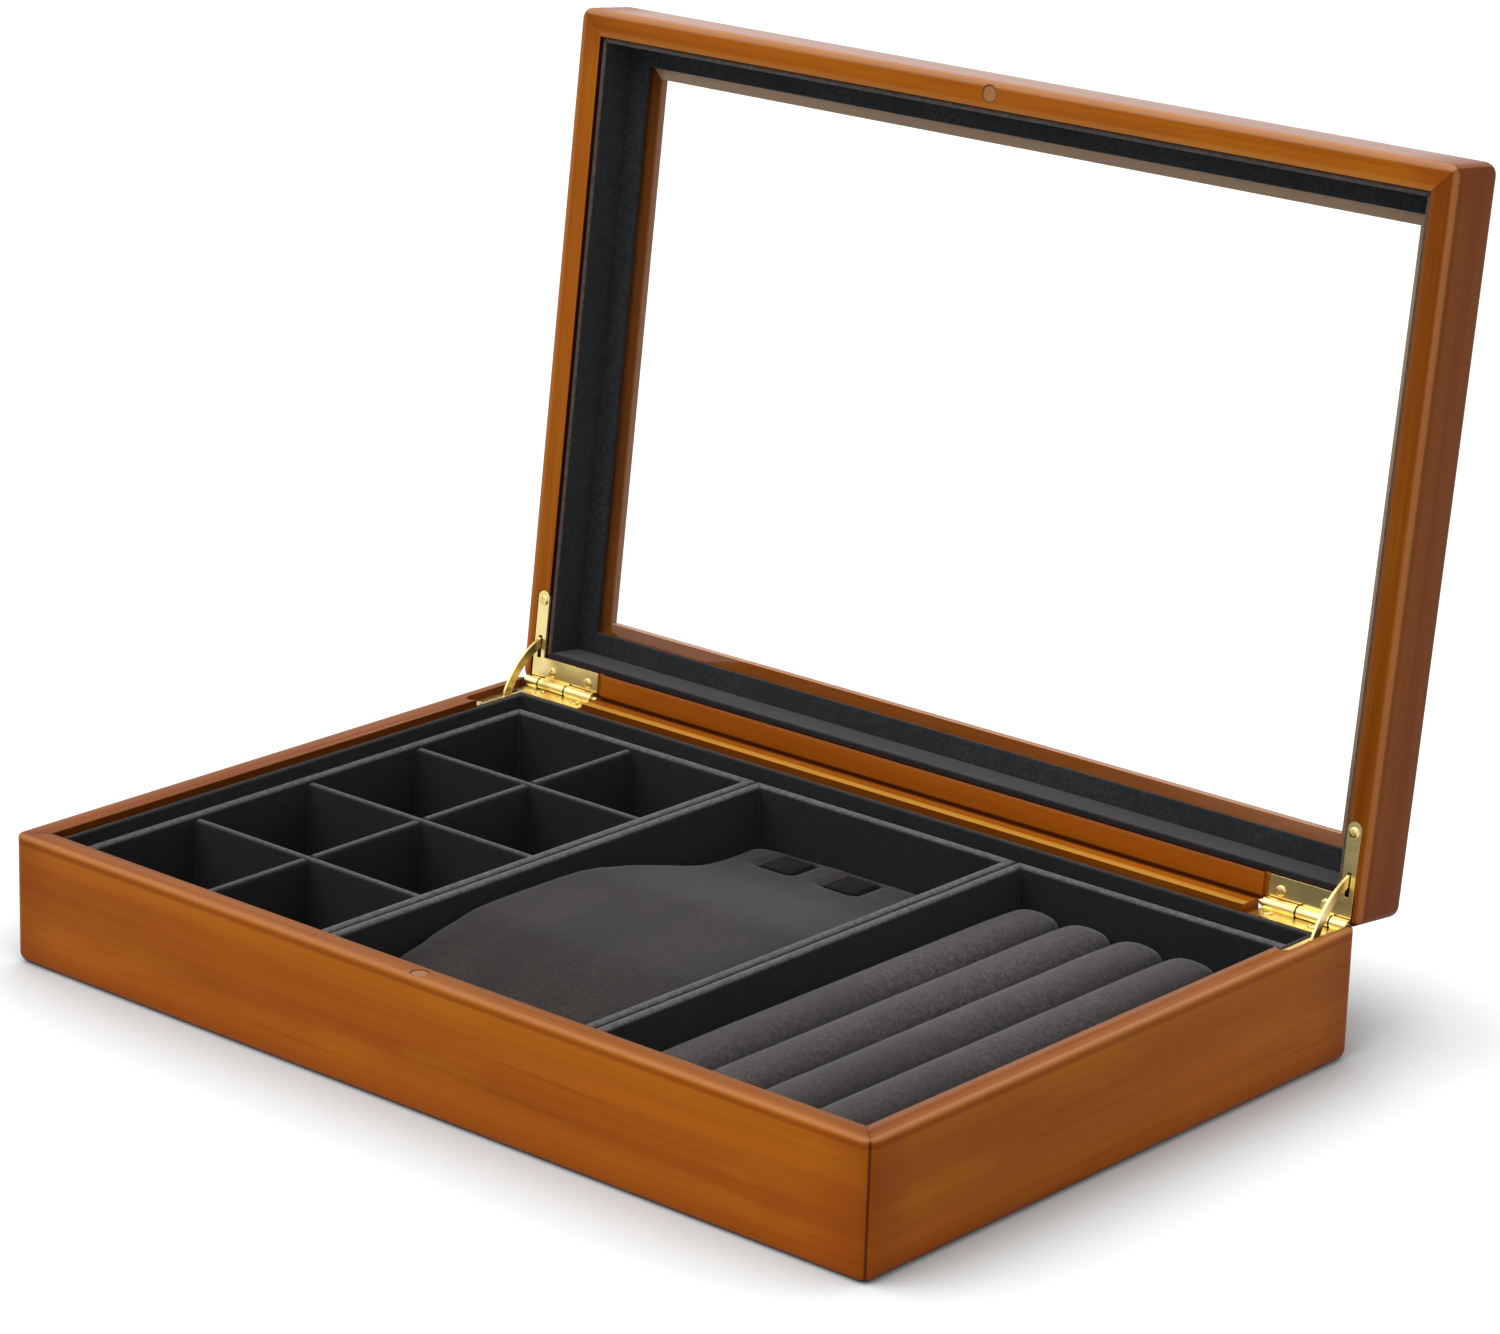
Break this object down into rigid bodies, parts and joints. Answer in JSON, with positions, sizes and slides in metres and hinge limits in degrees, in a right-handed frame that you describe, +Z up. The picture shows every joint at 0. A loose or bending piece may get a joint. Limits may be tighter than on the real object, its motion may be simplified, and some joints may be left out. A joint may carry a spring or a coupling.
{
  "type": "jewellery box",
  "caption": "Flat wooden jewellery box: glazed lid on two stop hinges over three suede lift-out trays for small pieces, bracelets and rings.",
  "frame": {"origin": "middle of the flat underside of the base, on the surface that the box stands on", "axes": "+X to the right along the hinge line, +Y to the back where the hinges are, +Z up; at rest the lid stands open on its stays"},
  "size_m": [0.35, 0.2833, 0.2756],
  "materials": {
    "wood": "stained hardwood with open grain under satin lacquer",
    "bottom_board": "stained board, plain",
    "suede_board": "black suede-effect fabric over board",
    "suede_padding": "charcoal suede-effect fabric over foam",
    "suede_strap": "charcoal suede-effect strap",
    "brass": "polished brass plate",
    "magnet": "nickel-plated magnet",
    "glass": "clear float glass"
  },
  "bodies": {
    "base": {"base_front_wall": "wood", "base_right_wall": "wood", "base_back_wall": "wood", "base_left_wall": "wood", "base_bottom_panel": "bottom_board", "floor_lining": "suede_board", "base_magnet": "magnet", "base_lining_front": "suede_board", "base_lining_right": "suede_board", "base_lining_back": "suede_board", "base_lining_left": "suede_board", "base_hinge_leaf_right": "brass", "base_hinge_leaf_left": "brass", "hinge_pins": "brass", "base_hinge_screws": "brass"},
    "lid": {"lid_front_rail": "wood", "lid_right_rail": "wood", "lid_back_rail": "wood", "lid_left_rail": "wood", "glass_pane": "glass", "glass_retainer_front": "suede_board", "glass_retainer_right": "suede_board", "glass_retainer_back": "suede_board", "glass_retainer_left": "suede_board", "lid_lining_front": "suede_board", "lid_lining_right": "suede_board", "lid_lining_back": "suede_board", "lid_lining_left": "suede_board", "lid_magnet": "magnet", "lid_hinge_leaf_right": "brass", "lid_hinge_leaf_left": "brass", "lid_hinge_screws": "brass"},
    "stay_arm_right": {"stay_arm_right": "brass"},
    "stay_arm_left": {"stay_arm_left": "brass"},
    "compartment_tray": {"compartment_tray_front": "suede_board", "compartment_tray_right": "suede_board", "compartment_tray_back": "suede_board", "compartment_tray_left": "suede_board", "compartment_tray_floor": "suede_board", "row_divider_1": "suede_board", "row_divider_2": "suede_board", "row_divider_3": "suede_board", "column_divider": "suede_board"},
    "bracelet_tray": {"bracelet_tray_front": "suede_board", "bracelet_tray_right": "suede_board", "bracelet_tray_back": "suede_board", "bracelet_tray_left": "suede_board", "bracelet_tray_floor": "suede_board", "bracelet_pad": "suede_padding", "bracelet_straps": "suede_strap"},
    "ring_tray": {"ring_tray_front": "suede_board", "ring_tray_right": "suede_board", "ring_tray_back": "suede_board", "ring_tray_left": "suede_board", "ring_tray_floor": "suede_board", "ring_roll_1": "suede_padding", "ring_roll_2": "suede_padding", "ring_roll_3": "suede_padding", "ring_roll_4": "suede_padding", "ring_roll_5": "suede_padding"}
  },
  "joints": [
    {"name": "lid_hinge", "type": "hinge", "parent": "base", "child": "lid", "pos_m": [0, 0.1176, 0.042], "axis": [-1, 0, 0], "range_deg": [-96, 0]},
    {"name": "right_stay_turn", "type": "hinge", "parent": "base", "child": "stay_arm_right", "pos_m": [0, 0.1176, 0.042], "axis": [-1, 0, 0], "range_deg": [-48, 0]},
    {"name": "left_stay_turn", "type": "hinge", "parent": "base", "child": "stay_arm_left", "pos_m": [0, 0.1176, 0.042], "axis": [-1, 0, 0], "range_deg": [-48, 0]},
    {"name": "compartment_tray_lift", "type": "slide", "parent": "base", "child": "compartment_tray", "axis": [0, 0, 1], "range_m": [0, 0.02]},
    {"name": "bracelet_tray_lift", "type": "slide", "parent": "base", "child": "bracelet_tray", "axis": [0, 0, 1], "range_m": [0, 0.02]},
    {"name": "ring_tray_lift", "type": "slide", "parent": "base", "child": "ring_tray", "axis": [0, 0, 1], "range_m": [0, 0.02]}
  ],
  "couplings": [
    {"joint": "right_stay_turn", "follows": "lid_hinge", "ratio": 0.5},
    {"joint": "left_stay_turn", "follows": "lid_hinge", "ratio": 0.5}
  ]
}
